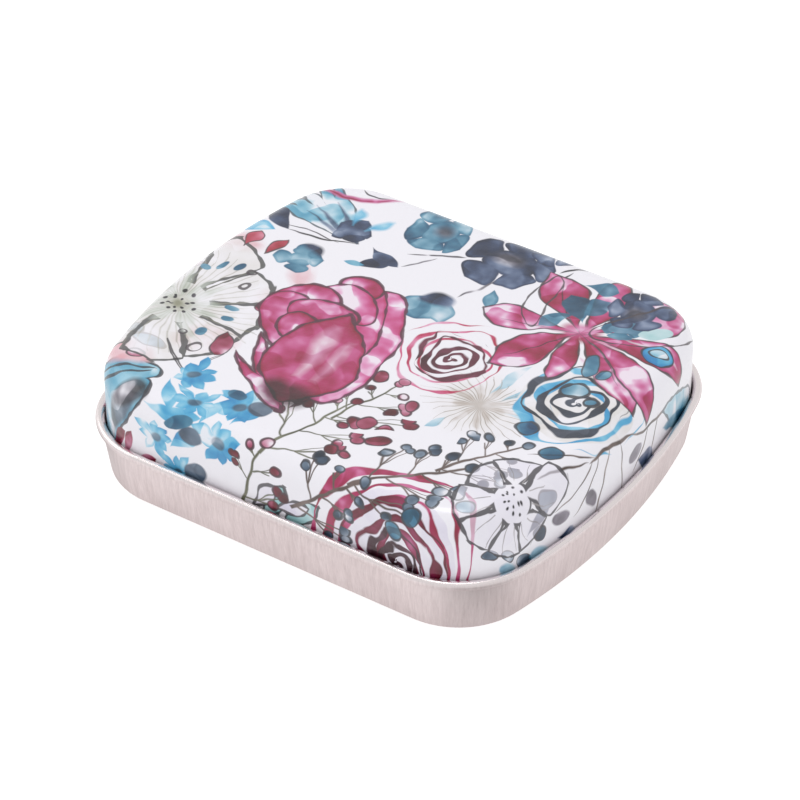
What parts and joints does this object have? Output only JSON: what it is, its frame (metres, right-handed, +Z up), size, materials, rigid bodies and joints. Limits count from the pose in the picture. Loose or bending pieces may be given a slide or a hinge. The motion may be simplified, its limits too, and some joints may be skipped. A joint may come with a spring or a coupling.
{
  "type": "hinged pocket tin",
  "caption": "Small flat rounded tin: a bare metal tray with a rolled rim and a printed lid that swings open on a wire hinge at the back.",
  "frame": {"origin": "centre of the underside, where the tin rests", "axes": "+X along the long side, -Y to the front, +Y to the hinge side, +Z up"},
  "size_m": [0.062, 0.0532, 0.0158],
  "materials": {
    "tinplate": "bare brushed tinplate, satin, faint upright brush lines",
    "printed_lid": "printed watercolour flowers on a pale lilac-white ground under glossy lacquer",
    "wire": "drawn steel wire"
  },
  "bodies": {
    "base": {"base_tray": "tinplate", "hinge_wire": "wire"},
    "lid": {"lid_shell": "printed_lid"}
  },
  "joints": [
    {"name": "lid_hinge", "type": "hinge", "parent": "base", "child": "lid", "pos_m": [0, 0.02605, 0.0072], "axis": [-1, 0, 0], "range_deg": [0, 120]}
  ]
}
